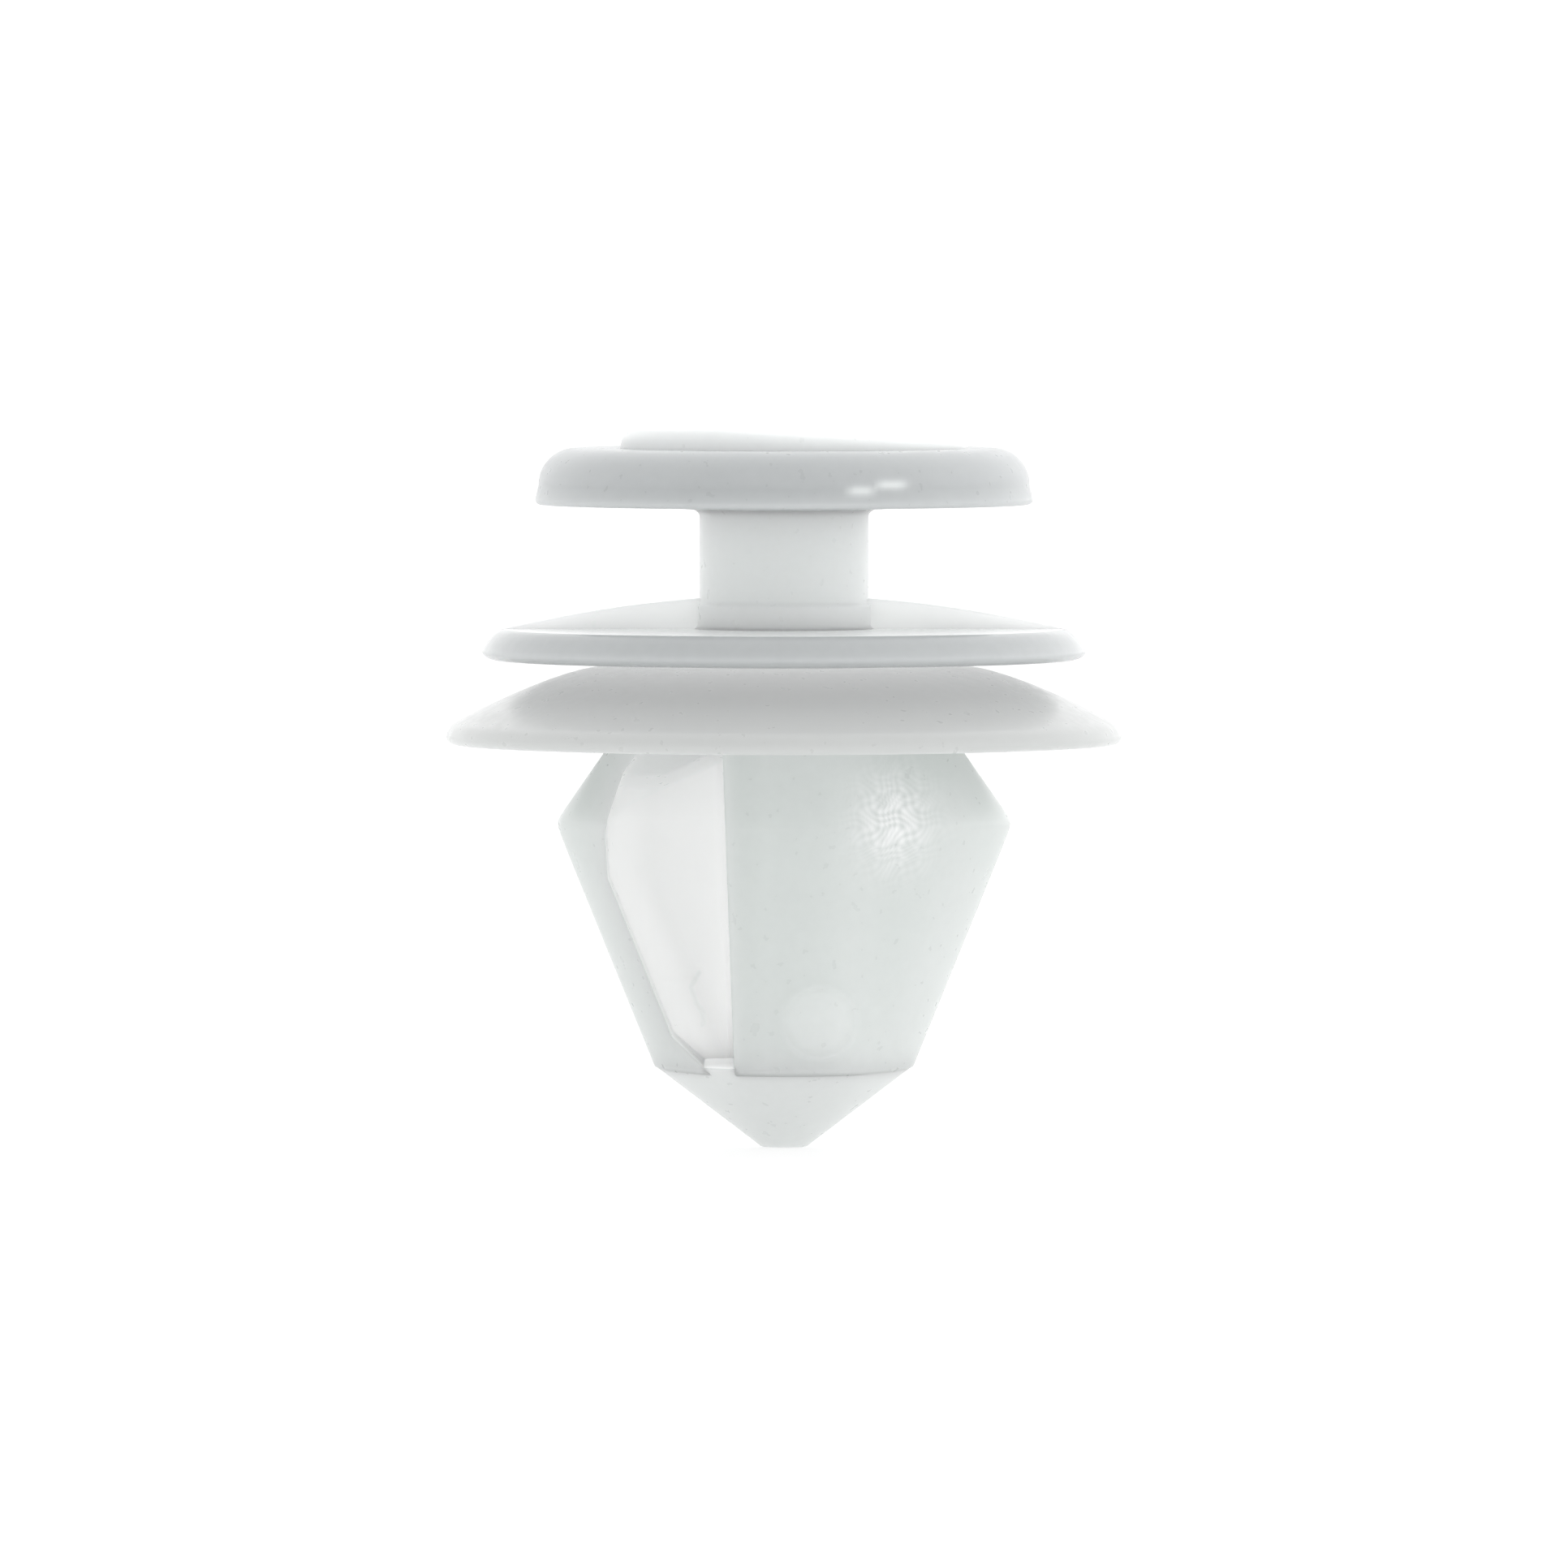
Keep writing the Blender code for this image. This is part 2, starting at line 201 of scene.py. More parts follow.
def polyamide(name, look):
    # natural PA66, injection moulded in a fine-ground steel mould: milky and translucent; the brighter look
    # of thin walls against a lit background and the greyer look of thick ones are painted light and shade, a
    # tone ramp and a glow set per point; a semi-gloss skin with slight flow marks and orange peel
    material = bpy.data.materials.new(name)
    material.use_nodes = True
    tree = material.node_tree
    tree.nodes.clear()
    place = addNode(tree, "ShaderNodeTexCoord").outputs["Object"]
    clouds = addNode(tree, "ShaderNodeTexNoise",
                     {"Scale": 1000 / look["cloudSize"], "Detail": 3.0, "Roughness": 0.55}, Vector=place)
    grain = addNode(tree, "ShaderNodeTexNoise", {"Scale": 1000 / look["grainSize"], "Detail": 2.0},
                    Vector=place)
    peel = addNode(tree, "ShaderNodeTexNoise", {"Scale": 1000 / look["peelSize"], "Detail": 2.0},
                   Vector=place)

    def spread(source, low, high):
        # the middle of a noise's range, stretched to low and high
        node = addNode(tree, "ShaderNodeMapRange", {"From Min": 0.3, "From Max": 0.7, "To Min": low,
                                                    "To Max": high}, Value=source.outputs["Fac"])
        return node.outputs["Result"]

    thinness = addNode(tree, "ShaderNodeAttribute", {"attribute_name": "thinness"})
    tint = addNode(tree, "ShaderNodeValToRGB", Fac=thinness.outputs["Fac"])
    tint.color_ramp.elements[0].color = linearColour(look["thick"])
    tint.color_ramp.elements[1].color = linearColour(look["thin"])
    shade = addNode(tree, "ShaderNodeMath", {"operation": "MULTIPLY"})
    tree.links.new(spread(clouds, 1 - look["flow"], 1 + look["flow"]), shade.inputs[0])
    tree.links.new(spread(grain, 1 - look["speck"], 1 + look["speck"]), shade.inputs[1])
    colour = addNode(tree, "ShaderNodeVectorMath", {"operation": "SCALE"}, Vector=tint.outputs["Color"],
                     Scale=shade.outputs["Value"])
    gloss = spread(grain, look["roughness"] - 0.05, look["roughness"] + 0.07)
    # painted glow: a weak emission stands in for the light that milky resin carries through from the far
    # side, and also lifts shaded pieces and lights the painted glints
    carried = addNode(tree, "ShaderNodeMapRange",
                      {"To Min": look["glowAtShaded"], "To Max": look["glowAtLit"]},
                      Value=thinness.outputs["Fac"])
    bump = addNode(tree, "ShaderNodeBump", {"Strength": look["peel"], "Distance": 0.02 * mm},
                   Height=peel.outputs["Fac"])
    shader = addNode(tree, "ShaderNodeBsdfPrincipled",
                     {"IOR": 1.53, "Subsurface Weight": look["milkiness"],
                      "Subsurface Radius": (1.0, 1.0, 0.97), "Subsurface Scale": look["glowDepth"] * mm,
                      "Emission Color": (1.0, 1.0, 1.0, 1.0)},
                     Emission_Strength=carried.outputs["Result"],
                     Base_Color=colour.outputs["Vector"], Roughness=gloss, Normal=bump.outputs["Normal"])
    addNode(tree, "ShaderNodeOutputMaterial", Surface=shader.outputs["BSDF"])
    return material


# noise sizes and glowDepth are in mm; the two tones and the two glows are the painted shaded and lit ends, at
# painted light 0 and 1
nylonLook = {"thick": "#D1D6D4", "thin": "#FBFCFC", "cloudSize": 4.0, "flow": 0.01, "grainSize": 0.35,
             "speck": 0.012, "roughness": 0.32, "peelSize": 0.5, "peel": 0.16, "milkiness": 1.0,
             "glowDepth": 3.0, "glowAtShaded": 0.0, "glowAtLit": 0.1}
# what differs by piece: painted light and shade, the same resin in lighter and darker copies with its own
# painted glow, as light falls on each piece more or less, such as the rim darker where it faces the dim front
# and the neck and gussets lifted in the head's shade; these tones, glow depths and emissions are fitted, not
# measured
pieceLooks = {
    "Ramp": {"thick": "#C4C7C7", "thin": "#C4C7C7", "glowDepth": 1.0, "glowAtShaded": 0.34},
    "Neck": {"thick": "#F1F5F3", "thin": "#F1F5F3", "glowAtShaded": 0.07},
    "Gusset": {"thick": "#DADCDB", "thin": "#DADCDB", "glowAtShaded": 0.31},
    "Stem": {"thick": "#9C9F9E", "thin": "#9C9F9E", "glowDepth": 1.5, "glowAtShaded": 0.29},
    "Nose": {"thick": "#DCDFDE", "thin": "#FAFBFB", "glowDepth": 1.0, "glowAtLit": 0.18},
    "Skirt": {"thick": "#8C8F8E", "thin": "#8C8F8E", "glowDepth": 1.5, "glowAtShaded": 0.31,
              "glowAtLit": 0.44},
    "Rim": {"thick": "#C0C3C4", "thin": "#DDE0E0", "glowDepth": 1.0, "glowAtLit": 0.08},
    "Glossy": {"thick": "#BCBFC0", "thin": "#C0C3C3", "glowDepth": 1.0, "glowAtLit": 0.16,
               "roughness": 0.2, "peel": 0.12},
    "Wall": {}}
toned = {key: polyamide("naturalPolyamide" + key, dict(nylonLook, **own)) for key, own in pieceLooks.items()}
print("materials made")


def place(piece, body, material, *nodes):
    # gives the piece its material and body, and hides the CAD nodes that it stands for
    piece.data.materials.append(material)
    if body:
        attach(piece, body)
    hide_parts(*nodes)


# ---- head: a disc with a rounded top edge and a round ramp on it

headValues = {"topRound": 1.1, "draft": 0.1, "footRound": 0.16, "seatRadius": 5.2, "fall": 0.16,
              "rimGlints": ((2.3, 7.78, 0.4), (3.2, 7.95, 0.45)), "rimGlintHeight": 0.14}


def headProfile():
    # up from the underside's middle: out along the fallen seat, round the foot, up the drafted side and
    # over the top
    v = headValues
    radius, bottom, top = headBox[1][0], headBox[0][2] + v["fall"], headBox[1][2]
    topRadius = radius - v["draft"]
    turn = np.linspace(0, np.pi / 2, 25)
    near, far = 1 - np.sin(turn), 1 - np.cos(turn)
    foot = np.stack([radius - v["footRound"] * near, bottom + v["footRound"] * far], 1)
    shoulder = np.stack([topRadius - v["topRound"] * far, top - v["topRound"] * near], 1)
    seat = evenly([[neckBox[1][0], bottom - v["fall"]], [v["seatRadius"], bottom], foot[0]], 0.15)
    return np.concatenate([[[0, bottom - v["fall"]]], softened(seat, 4)[:-1], foot,
                           softened(evenly([foot[-1], shoulder[0]], 0.1), 1)[1:-1], shoulder, [[0, top]]])


headDisc = turnedPiece("headDisc", headProfile())
rimPoints = verticesOf(headDisc)
rimGlints = np.zeros(len(rimPoints))
for rimGlintX, rimGlintZ, reach in headValues["rimGlints"]:
    # painted glints: light streaks on the rim's front, each a flat bell in x and z
    across, up = (rimPoints[:, 0] - rimGlintX) / reach, (rimPoints[:, 2] - rimGlintZ) / headValues["rimGlintHeight"]
    bell = np.exp(-across ** 4 - up ** 2)
    rimGlints = np.maximum(rimGlints, np.where(rimPoints[:, 1] < 0, bell, 0))
setPaintedLight(headDisc, rimGlints)
place(headDisc, "clip_body", toned["Rim"], "head_disc")

rampValues = {"draft": 0.12, "edgeRound": 0.14, "levelLength": 2.9, "highHeight": 0.65, "lowHeight": 0.2,
              "sink": 0.1, "steps": 200, "flatRings": 23, "sideDrop": 9.0}


def headRampPiece():
    # rings about the ramp's middle, r(s) running from the middle to the foot, and
    # z = the higher of the foot and top(x) - drop(s) share(x), where top(x) is level and then falls in a
    # straight line, and share(x) lessens the edge's rounding where the ramp is low
    v = rampValues
    centre = (rampBox[0][0] + rampBox[1][0]) / 2
    radius = (rampBox[1][0] - rampBox[0][0]) / 2
    foot, headTop = headBox[1][2] - v["sink"], headBox[1][2]
    levelEnd = rampBox[0][0] + v["levelLength"]

    def topAt(x):
        fallen = np.clip((x - levelEnd) / (rampBox[1][0] - levelEnd), 0, 1)
        return headTop + v["highHeight"] - (v["highHeight"] - v["lowHeight"]) * fallen

    turn = np.linspace(0, np.pi / 2, 7)[1:]
    edge, edgeRound = radius - v["draft"], v["edgeRound"]
    flat = np.linspace(0, edge - edgeRound, v["flatRings"] + 1)[1:]
    rings = np.concatenate([flat, edge - edgeRound * (1 - np.sin(turn)), [radius]])
    # the last ring's drop is more than the ramp is high, so it lands on the foot
    drops = np.concatenate([np.zeros(v["flatRings"]), edgeRound * (1 - np.cos(turn)), [v["sideDrop"]]])
    angle = np.linspace(0, 2 * np.pi, v["steps"], endpoint=False)
    x = centre + rings[:, None] * np.sin(angle)
    y = -rings[:, None] * np.cos(angle)
    top = topAt(x)
    share = np.clip((top - headTop) / v["highHeight"], 0.3, 1)
    grid = np.stack([x, y, np.maximum(top - drops[:, None] * share, foot)], -1)[::-1]
    grid[0, :, 2] = foot
    return fannedRings("headRamp", grid, [[centre, 0, foot], [centre, 0, topAt(centre)]])


headRamp = headRampPiece()
place(headRamp, "clip_body", toned["Ramp"], "head_ramp")

# ---- neck, with a slightly stouter foot between the gussets, and a fillet at each end

neckValues = {"footExtra": 0.11, "footTop": 0.8, "footFade": 0.16, "filletTop": 0.22, "filletFoot": 0.16,
              "filletPower": 2.2, "bite": 0.03}


def neckProfile():
    # r(z) is the neck's radius plus a smooth step at its foot and a fillet at each end, h (1 - d / h)^power
    # at a distance d from that end
    v = neckValues
    radius = neckBox[1][0]
    low, high = flangeBox[1][2] - v["bite"], headBox[0][2] + v["bite"]
    z = np.linspace(low, high, 70)
    step = smoothstep((z - (low + v["footTop"]) + v["footFade"] / 2) / v["footFade"])
    r = radius + v["footExtra"] * (1 - step)
    r = r + v["filletFoot"] * np.clip(1 - (z - low) / v["filletFoot"], 0, 1) ** v["filletPower"]
    r = r + v["filletTop"] * np.clip(1 - (high - z) / v["filletTop"], 0, 1) ** v["filletPower"]
    return np.concatenate([[[0, low]], np.stack([r, z], 1), [[0, high]]])


neck = turnedPiece("neckColumn", neckProfile(), 160)
place(neck, "clip_body", toned["Neck"], "neck")

# ---- upper flange: a flat glossy disc drawn out thin at its edge, braced to the neck by two thin gussets

flangeValues = {"edgeWidth": 0.8, "edgeHeight": 0.28, "lipRound": 0.5, "edgePower": 2.2}


def flangeProfile():
    # up: flat underside, quarter-ellipse under the lip, then z falls as 1 - t^power over the edge, flat top
    v = flangeValues
    radius, low, top = flangeBox[1][0], flangeBox[0][2], flangeBox[1][2]
    tip = low + v["edgeHeight"]
    turn = np.linspace(0, np.pi / 2, 16)
    under = np.stack([radius - v["lipRound"] * (1 - np.sin(turn)), tip - v["edgeHeight"] * np.cos(turn)], 1)
    t = np.linspace(1, 0, 26)[1:]
    over = np.stack([radius - v["edgeWidth"] * (1 - t), tip + (top - tip) * (1 - t ** v["edgePower"])], 1)
    flat = evenly([[over[-1][0], top], [0.3, top]], 0.4)[1:]
    base = evenly([[0.3, low], under[0]], 0.4)[:-1]
    body = softened(np.concatenate([base, under, over, flat]), 2)
    return np.concatenate([[[0, low]], body, [[0, top]]])


upperFlange = turnedPiece("upperFlange", flangeProfile(), 288)
# painted light: the flat top, facing the light above, is drawn a little lighter than the edge, with a little
# glow
setPaintedLight(upperFlange, verticesOf(upperFlange)[:, 2] > flangeBox[1][2] - 0.02)
place(upperFlange, "clip_body", toned["Glossy"], "upper_flange")

gussetValues = {"height": 1.01, "fall": 0.0142, "halfWidth": 0.55, "draft": 0.06, "edgeRound": 0.12,
                "neckBite": 0.3, "flangeBite": 0.25, "lowest": 0.05}


def gussetPiece(name, side):
    # rings across the gusset at each x: a drafted rectangle with rounded top edges, its crest at c - k x^2
    v = gussetValues
    flangeTop = flangeBox[1][2]
    start, end = neckBox[1][0] - v["neckBite"], math.sqrt(v["height"] / v["fall"]) + 0.05
    turn = np.linspace(0, np.pi / 2, 6)
    rings = []
    for x in np.linspace(start, end, 60):
        crest = flangeTop + v["height"] - v["fall"] * x * x
        height = max(crest - (flangeTop - v["flangeBite"]), v["lowest"])
        edge = min(v["edgeRound"], height * 0.6)
        half = v["halfWidth"] - v["draft"] * min(height, 1.0)
        right = np.stack([half - edge * (1 - np.cos(turn)), crest - edge * (1 - np.sin(turn))], 1)
        left = right[::-1] * [-1, 1]
        foot = crest - height
        section = np.concatenate([[[v["halfWidth"], foot]], right, left, [[-v["halfWidth"], foot]]])
        rings.append(np.stack([np.full(len(section), side * x), side * section[:, 0], section[:, 1]], 1))
    return stackedRings(name, rings)


for side, name, node in ((-1, "leftGusset", "left_gusset"), (1, "rightGusset", "right_gusset")):
    place(gussetPiece(name, side), "clip_body", toned["Gusset"], node)

# ---- stem and sealing skirt

stemValues = {"radius": 4.1, "flareHeight": 0.7, "bite": 0.05}


def stemProfile():
    # up from the foot, in over the flare to the stem's radius, and up into the flange
    radius = stemValues["radius"]
    low, high = stemBox[0][2], flangeBox[0][2] + stemValues["bite"]
    corners = [[0.3, low], [stemBox[1][0], low], [radius, low + stemValues["flareHeight"]], [radius, high],
               [0.3, high]]
    return np.concatenate([[[0, low]], softened(evenly(corners, 0.1), 3), [[0, high]]])


stem = turnedPiece("stemCore", stemProfile(), 192)
place(stem, "clip_body", toned["Stem"], "stem")

skirtValues = {"lipHeight": 0.5, "lipLand": 0.4, "lipRound": 0.16, "slope": 0.57, "curve": 0.031,
               "rootHeight": 0.75, "softness": 0.2, "rootTop": 2.42, "boreRadius": 4.0, "shadeStart": 5.5,
               "shadeLength": 3}


def skirtTop(r):
    # z = lip + a u - b u^2, where u is the way in from the lip, up to the level root
    v = skirtValues
    inward = skirtBox[1][0] - r
    rise = v["lipHeight"] + v["slope"] * inward - v["curve"] * inward ** 2
    return softMin(rise, v["rootTop"], v["softness"])


def skirtProfile():
    # closed, clockwise in (r, z): out along the top z(r), round the lip, in along the land and up the hollow
    v = skirtValues
    outer, bore = skirtBox[1][0], v["boreRadius"]
    r = np.linspace(bore, outer - 0.12, 70)
    top = np.stack([r, skirtTop(r)], 1)
    land = outer - v["lipRound"]
    lip = [[outer, v["lipHeight"] * 0.6], [outer, v["lipHeight"] * 0.3], [land, 0.0],
           [land - v["lipLand"], 0.0]]
    back = np.linspace(land - v["lipLand"], bore, 70)[1:]
    share = (back - back[0]) / (bore - back[0])
    wall = skirtTop(back[0]) + (v["rootHeight"] - skirtTop(back[0])) * share
    hollow = np.stack([back, skirtTop(back) - wall], 1)
    loop = evenly(np.concatenate([top, lip, hollow, top[:1]]), 0.12)[:-1]
    return softened(loop, 3, closed=True)


sealingSkirt = turnedRing("sealingSkirt", skirtProfile())
skirtPoints = verticesOf(sealingSkirt)
fromAxis = np.hypot(skirtPoints[:, 0], skirtPoints[:, 1])
# painted light: the part under the flange is drawn lighter, with more glow, lifting the shade the flange
# casts on it
setPaintedLight(sealingSkirt, 1 - smoothstep((fromAxis - skirtValues["shadeStart"]) / skirtValues["shadeLength"]))
place(sealingSkirt, None, toned["Skirt"], "sealing_skirt")
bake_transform(sealingSkirt)
print("head, flange and skirt made")

# ---- anchor

anchorValues = {"shoulderZ": -2.35, "softness": 0.16, "upperFall": 0.7, "noseZ": noseBox[1][2],
                "noseRadius": noseBox[1][0], "halfDepth": webBox[1][1], "webTop": 1.86, "webBottom": 1.5,
                "webTopZ": 0.45, "wall": 1.0, "legWidth": 0.97, "legExtra": 0.56, "legReach": 1.6,
                "pocketRound": 1.3, "rootRound": 0.15, "webMiddle": 0.02, "edgePasses": 5,
                "ceilingInner": -0.7, "ceilingOuter": -2.0, "ceilingDepth": 2.4, "ceilingStart": 2.1,
                "ceilingLength": 2.8, "ceilingRise": 0.5, "ceilingEdge": 0.25,
                "footExtra": 0.6, "footStart": -8.7, "footLength": 0.9, "tuck": 1.4, "tuckStart": 0.04,
                "witnessX": 1.07, "witnessZ": -8.2, "witnessRadius": 1.08, "witnessHeight": 0.08,
                "witnessWidth": 0.07, "witnessLift": 0.1, "markHeight": 0.05, "markWidth": 0.11,
                "markShade": 0.4,
                "markCurve": np.array([[-2.57, -7.0], [-2.81, -7.42], [-2.67, -7.91], [-2.45, -8.2],
                                       [-2.45, -8.57]]),
                "skinLift": 0.15, "legLift": 0.6, "ceilingLift": 0.8, "webSideLift": 0.9,
                "shoulderGlintX": 3.3, "shoulderGlintZ": -2.2, "shoulderGlintWidth": 1.0, "shoulderGlintHeight": 1.3, "shoulderGlintLift": 0.8}
# how many points each stretch of a wing's ring has, in the ring's order
stretches = {"outer": 230, "legSide": 50, "bend": 16, "wall": 33, "webSide": 30, "across": 23, "freeSide": 60}
shoulderHalf = -wingBox[0][0] + anchorValues["softness"] / 2


def tuckAt(z):
    # the barrel narrows below the nose's top, so its foot lies inside the nose
    v = anchorValues
    return v["tuck"] * np.maximum(v["noseZ"] - v["tuckStart"] - z, 0)


def barrelHalfWidth(z):
    # two straight lines that meet in a softened corner at the shoulder
    v = anchorValues
    above, length = z - v["shoulderZ"], v["shoulderZ"] - v["noseZ"]
    lower = shoulderHalf + (shoulderHalf - v["noseRadius"]) * above / length
    upper = shoulderHalf - v["upperFall"] * above
    return softMin(lower, upper, v["softness"]) - tuckAt(z)


def barrelHalfDepth(z):
    v = anchorValues
    share = np.clip((z - v["noseZ"]) / (v["shoulderZ"] - v["noseZ"]), -0.2, 1)
    return v["noseRadius"] + (v["halfDepth"] - v["noseRadius"]) * share - tuckAt(z)


def webHalfWidth(z):
    v = anchorValues
    share = np.clip((z - v["noseZ"]) / (v["webTopZ"] - v["noseZ"]), 0, 1)
    return v["webBottom"] + (v["webTop"] - v["webBottom"]) * share


def depthAt(x, z, inset):
    # half the depth, at x, of the oval at height z drawn in by inset: b sqrt(1 - (x / a)^2)
    width, depth = barrelHalfWidth(z) - inset, barrelHalfDepth(z) - inset
    return depth * np.sqrt(np.clip(1 - (x / width) ** 2, 0, 1))


def nearCurve(points, curve):
    # distance of every (x, z) point from a polyline of (x, z) corners
    best = np.full(len(points), 99.0)
    for a, b in zip(curve[:-1], curve[1:]):
        along = b - a
        t = np.clip((points - a) @ along / (along @ along), 0, 1)
        best = np.minimum(best, np.linalg.norm(points - (a + t[:, None] * along), axis=1))
    return best


def ceilingHeight(x):
    # the pocket's ceiling slopes down in a straight line from the web to the leg
    v = anchorValues
    share = np.clip((x - v["ceilingStart"]) / v["ceilingLength"], 0, 1.3)
    return v["ceilingInner"] + (v["ceilingOuter"] - v["ceilingInner"]) * share


def wingRing(z, side):
    # plan of one wing and its half of the web at height z, for the wing whose thin wall is at the front and
    # whose leg is on the right; side -1 is the same turned half round. Anticlockwise from above: out along
    # the oval from the web's left edge to the leg's back edge, in along the leg, round the pocket's corner,
    # along the thin wall, back along the web's right face to the middle, across it and forward along its
    # left face
    v, count = anchorValues, stretches
    halfWidth, halfDepth = barrelHalfWidth(z), barrelHalfDepth(z)
    root, middle = webHalfWidth(z), v["webMiddle"]
    leg = halfWidth - v["legWidth"] - v["legExtra"] * max(1 - abs(z - v["shoulderZ"]) / v["legReach"], 0)
    leg = leg - v["footExtra"] * np.clip((v["footStart"] - z) / v["footLength"], 0, 1)
    start = -np.pi / 2 - math.asin(root / halfWidth)
    end = math.acos(min(leg / halfWidth, 1))
    angle = np.linspace(start, end, count["outer"])
    outer = np.stack([halfWidth * np.cos(angle), halfDepth * np.sin(angle)], 1)
    relief = np.zeros(len(outer))
    if side > 0:
        # the ejector's witness: a fine raised circle, a narrow bell about its radius
        spot = np.hypot(outer[:, 0] - v["witnessX"], z - v["witnessZ"]) - v["witnessRadius"]
        bell = v["witnessHeight"] * np.exp(-(spot / v["witnessWidth"]) ** 2)
        relief = np.where(outer[:, 1] < 0, bell, 0)
    outer = outer * (1 + relief / np.linalg.norm(outer, axis=1))[:, None]
    corner = min(v["pocketRound"], max((leg - root) * 0.7, 0.05))
    xs = np.linspace(root + v["rootRound"], leg - corner, count["wall"] + 1)
    above = smoothstep((z - ceilingHeight(xs)) / v["ceilingRise"])
    wallY = -depthAt(xs, z, v["wall"]) + v["ceilingDepth"] * above
    if side < 0:
        # a small curved tool mark, raised from the pocket's wall
        far = nearCurve(np.stack([-xs, np.full(len(xs), z)], 1), v["markCurve"])
        wallY = wallY + v["markHeight"] * np.exp(-(far / v["markWidth"]) ** 2)
    turn = np.linspace(0, np.pi / 2, count["bend"])
    cornerY = wallY[-1] + corner
    bend = np.stack([leg - corner * (1 - np.sin(turn)), cornerY - corner * np.cos(turn)], 1)[::-1]
    legY = np.linspace(outer[-1][1], bend[0][1], count["legSide"] + 2)[1:-1]
    legSide = np.stack([np.full(count["legSide"], leg), legY], 1)
    wall = np.stack([xs, wallY], 1)[::-1][1:]
    webY = np.linspace(wall[-1][1] + v["rootRound"], middle, count["webSide"])
    webSide = np.stack([np.full(count["webSide"], root), webY], 1)
    acrossX = np.linspace(root, -root, count["across"] + 1)[1:]
    across = np.stack([acrossX, np.full(count["across"], middle)], 1)
    freeY = np.linspace(middle, outer[0][1], count["freeSide"] + 2)[1:-1]
    freeSide = np.stack([np.full(count["freeSide"], -root), freeY], 1)
    ring = np.concatenate([outer, legSide, bend, wall, webSide, across, freeSide])
    ring = softened(ring, v["edgePasses"], closed=True)
    return np.concatenate([side * ring, np.full((len(ring), 1), z)], 1)


anchorHeights = np.concatenate([np.linspace(-9.85, -2.9, 96)[:-1], np.linspace(-2.9, -1.7, 24)[:-1],
                                np.linspace(-1.7, 0.5, 27)])


def thinnessOf(rings, side):
    # painted light by the ring's stretches: the outer face is nearly solid, drawn a little lighter beside the
    # web; the pocket's corner and thin wall are 1 below the sloping ceiling, drawn lit as by light through
    # the wall; the leg's inner side and the web's face are in between, lifting the pocket's shade, and the
    # web's middle and free side are 0
    v, count = anchorValues, stretches
    legStart = count["outer"]
    wallStart = legStart + count["legSide"]
    wallEnd = wallStart + count["bend"] + count["wall"]
    outer, wall = slice(0, legStart), slice(wallStart, wallEnd)
    x, z = side * rings[..., 0], rings[..., 2]
    thin = np.zeros(x.shape)
    lighter = smoothstep((x[:, outer] + 1.6) / 1.2) * (1 - smoothstep((x[:, outer] - 1.5) / 2))
    thin[:, outer] = v["skinLift"] * lighter
    if side > 0:
        # a painted glint by the shoulder: a bell times fine crossed waves, and the ejector witness's face
        # drawn a little lighter
        fromShoulderGlint = ((x - v["shoulderGlintX"]) / v["shoulderGlintWidth"]) ** 2 + ((z - v["shoulderGlintZ"]) / v["shoulderGlintHeight"]) ** 2
        rising = np.sin(17 * x + 5 * z + 3 * np.sin(6 * z))
        glintSpeckle = 0.5 + 0.5 * rising * np.sin(14 * z - 8 * x + 4 * np.sin(5 * x))
        fromWitness = np.hypot(x - v["witnessX"], z - v["witnessZ"])
        spots = (v["shoulderGlintLift"] * np.exp(-fromShoulderGlint) * glintSpeckle
                 + v["witnessLift"] * smoothstep((v["witnessRadius"] - fromWitness) / 0.3))
        thin += np.where(rings[..., 1] < 0, spots, 0)
    thin[:, legStart:wallStart] = v["legLift"]
    below = smoothstep((ceilingHeight(x[:, wall]) - z[:, wall]) / v["ceilingEdge"])
    thin[:, wall] = v["ceilingLift"] + (1 - v["ceilingLift"]) * below
    if side < 0:
        places = np.stack([rings[:, wall, 0].ravel(), rings[:, wall, 2].ravel()], 1)
        far = nearCurve(places, v["markCurve"]).reshape(thin[:, wall].shape)
        thin[:, wall] *= 1 - v["markShade"] * np.exp(-(far / v["markWidth"]) ** 2)
    thin[:, wallEnd:wallEnd + count["webSide"]] = v["webSideLift"]
    return thin


def wingPiece(name, side, body, *nodes):
    rings = np.array([wingRing(z, side) for z in anchorHeights])
    piece = stackedRings(name, rings)
    setPaintedLight(piece, thinnessOf(rings, side))
    place(piece, None, toned["Wall"], *nodes)
    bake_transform(piece)
    return piece


rightWing = wingPiece("rightWing", 1, "right_wing_body", "right_wing")
leftWing = wingPiece("leftWing", -1, "left_wing_body", "left_wing", "centre_web")


noseValues = {"flatRadius": 0.69, "tipRadius": 0.81, "tipHeight": 0.1, "rimDraft": 0.02, "topRise": 0.08}


def noseProfile():
    # up: a small flat tip, a bevel, a straight cone and a top that stands just inside the wings
    v, n = anchorValues, noseValues
    tip, top = noseBox[0][2], v["noseZ"] + n["topRise"]
    corners = [[0.2, tip], [n["flatRadius"], tip], [n["tipRadius"], tip + n["tipHeight"]],
               [v["noseRadius"], v["noseZ"]], [v["noseRadius"] - n["rimDraft"], top], [0.3, top]]
    return np.concatenate([[[0, tip]], softened(evenly(corners, 0.05), 2), [[0, top]]])


nose = turnedPiece("noseCone", noseProfile(), 240)
# painted light: its top, the floor of the pockets, is drawn lighter and glows like their walls, lifting the
# shade there
setPaintedLight(nose, verticesOf(nose)[:, 2] > anchorValues["noseZ"] + 0.06)
place(nose, "clip_body", toned["Nose"], "nose")
print("anchor made")

# ---- studio: a lit white table and a pale surround, brighter behind and on the right

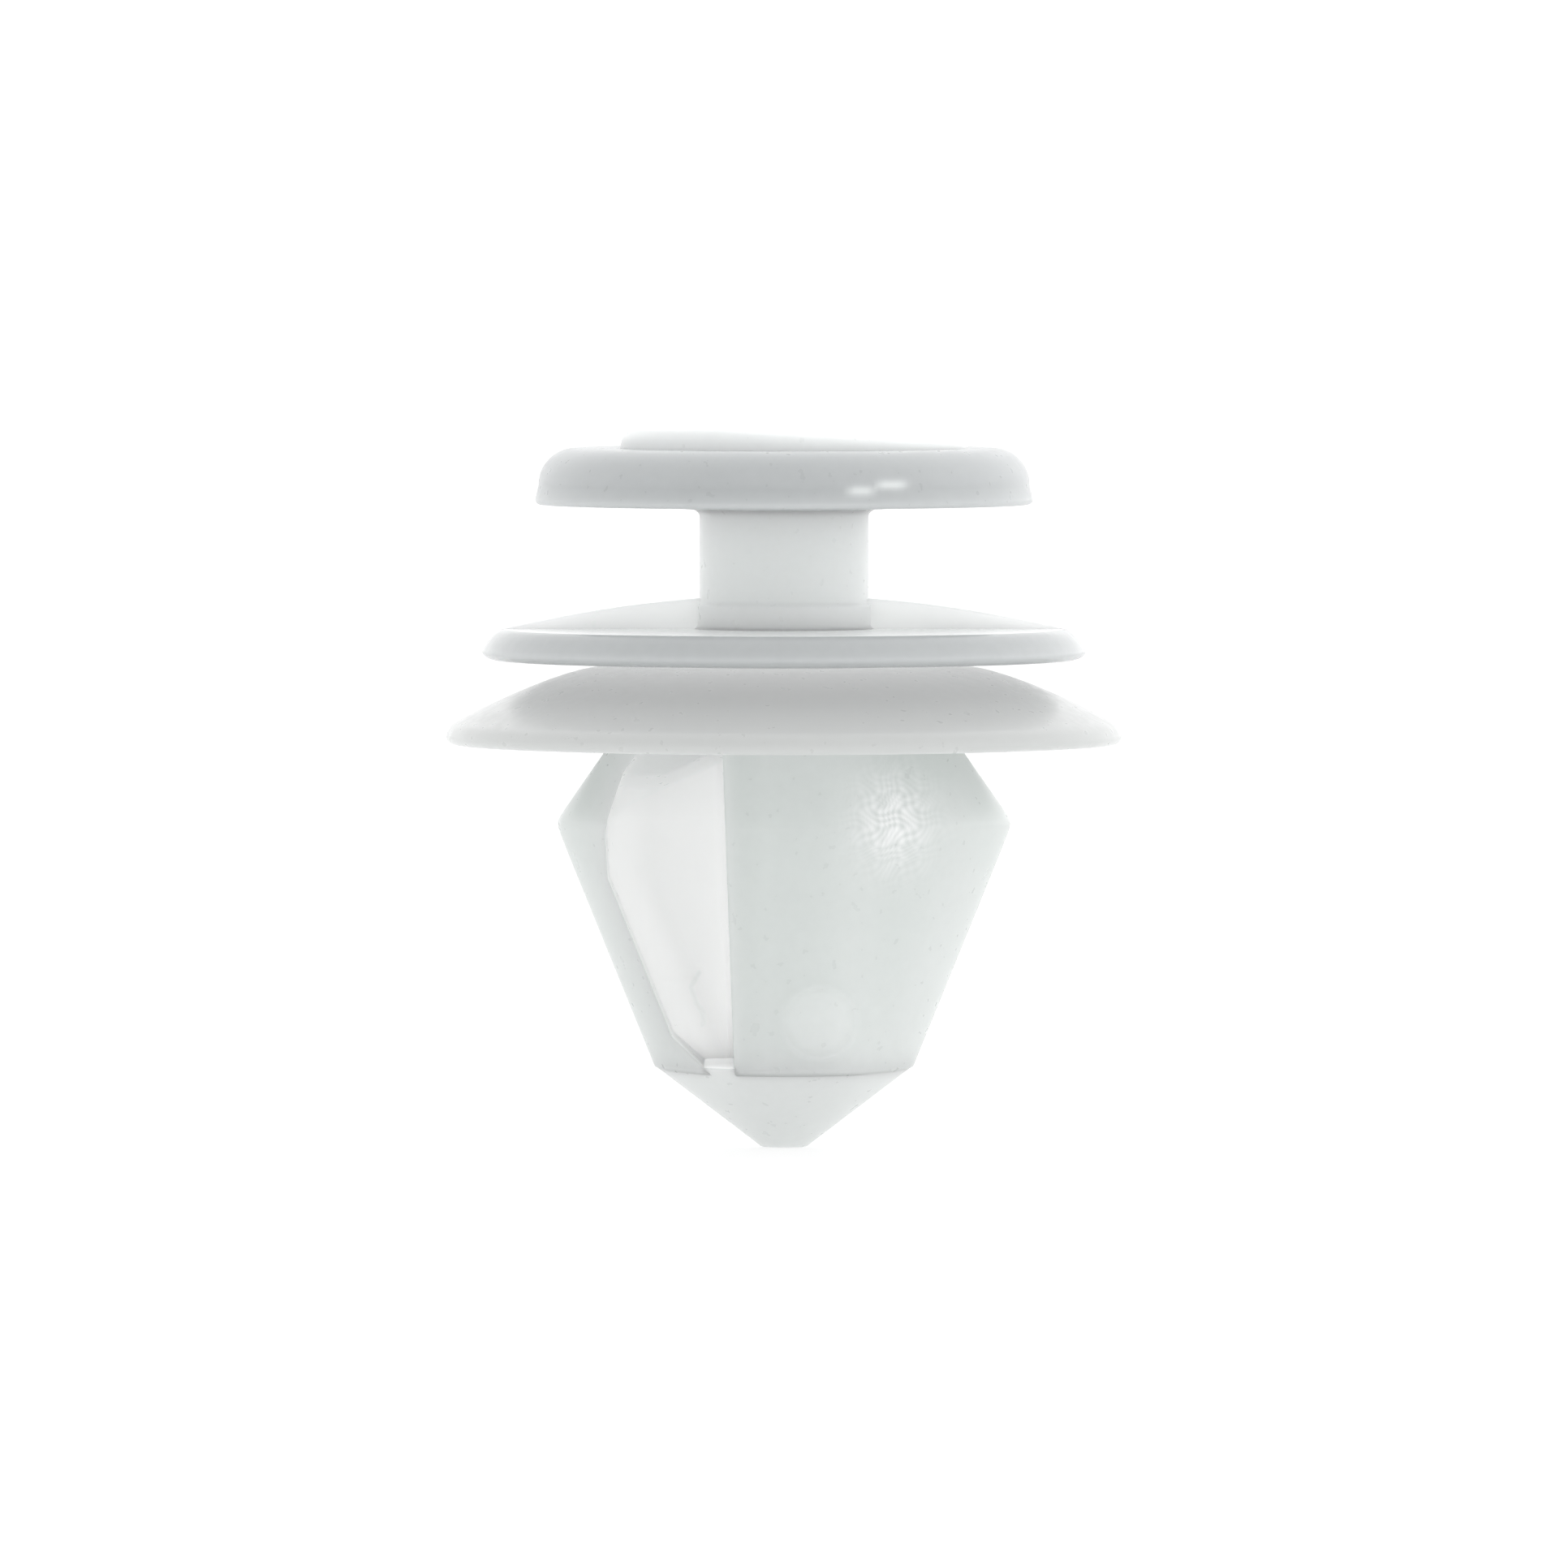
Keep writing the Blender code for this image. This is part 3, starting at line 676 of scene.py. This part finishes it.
stageValues = {"floorZ": -12.16, "floorSize": 4.0, "floorGlow": 0.65, "glow": 1.09, "rightGlow": 0.18,
               "backGlow": 0.34}


def whiteTable():
    # opal acrylic light table: matt, white, lit from inside
    material = bpy.data.materials.new("opalAcrylic")
    material.use_nodes = True
    shader = material.node_tree.nodes["Principled BSDF"]
    shader.inputs["Base Color"].default_value = linearColour("#A0A0A0")
    shader.inputs["Roughness"].default_value = 0.7
    shader.inputs["Emission Color"].default_value = linearColour("#FFFFFF")
    shader.inputs["Emission Strength"].default_value = stageValues["floorGlow"]
    return material


def stagePlane(name, corners, material):
    mesh = bpy.data.meshes.new(name)
    mesh.from_pydata(corners, [], [(0, 1, 2, 3)])
    mesh.materials.append(material)
    plane = bpy.data.objects.new(name, mesh)
    bpy.context.scene.collection.objects.link(plane)


half, low = stageValues["floorSize"] / 2, stageValues["floorZ"] * mm
floorCorners = [(-half, -half, low), (half, -half, low), (half, half, low), (-half, half, low)]
stagePlane("floor", floorCorners, whiteTable())

# the surround's strength in a direction is glow + rightGlow x + backGlow y
world = bpy.data.worlds.new("paleSurround")
bpy.context.scene.world = world
world.use_nodes = True
sky = world.node_tree
sky.nodes.clear()
direction = addNode(sky, "ShaderNodeTexCoord").outputs["Generated"]
lean = addNode(sky, "ShaderNodeVectorMath", {"operation": "DOT_PRODUCT"})
sky.links.new(direction, lean.inputs[0])
lean.inputs[1].default_value = (stageValues["rightGlow"], stageValues["backGlow"], 0)
glow = addNode(sky, "ShaderNodeMath", {"operation": "ADD"})
sky.links.new(lean.outputs["Value"], glow.inputs[0])
glow.inputs[1].default_value = stageValues["glow"]
surround = addNode(sky, "ShaderNodeBackground", {"Color": (1, 1, 1, 1)}, Strength=glow.outputs["Value"])
addNode(sky, "ShaderNodeOutputWorld", Surface=surround.outputs["Background"])


def softbox(name, location, target, size, watts):
    light = bpy.data.lights.new(name, "AREA")
    light.shape = "RECTANGLE"
    light.size, light.size_y = size
    light.energy = watts
    lamp = bpy.data.objects.new(name, light)
    bpy.context.scene.collection.objects.link(lamp)
    away = Vector(location) - Vector(target)
    lamp.location = location
    lamp.rotation_mode = "QUATERNION"
    lamp.rotation_quaternion = away.to_track_quat("Z", "Y")


softbox("topSoftbox", (0.1, 0.15, 0.6), (0, 0, 0), (0.7, 0.5), 0.05)
softbox("rightSoftbox", (0.55, -0.12, 0.15), (0, 0, 0), (0.3, 0.5), 0.05)

cameraValues = {"elevation": 2.0, "distance": 0.6, "targetZ": -1.2, "frameWidth": 47.27, "sensorWidth": 36}
camera = bpy.data.objects.new("camera", bpy.data.cameras.new("camera"))
bpy.context.scene.collection.objects.link(camera)
tilt, distance = math.radians(cameraValues["elevation"]), cameraValues["distance"]
camera.location = (0, -distance * math.cos(tilt), cameraValues["targetZ"] * mm + distance * math.sin(tilt))
camera.rotation_euler = (math.pi / 2 - tilt, 0, 0)
camera.data.sensor_width = cameraValues["sensorWidth"]
camera.data.lens = cameraValues["sensorWidth"] * distance / (cameraValues["frameWidth"] * mm)
camera.data.clip_start = 0.01
bpy.context.scene.camera = camera
bpy.context.scene.view_settings.view_transform = "Standard"
print("studio made")
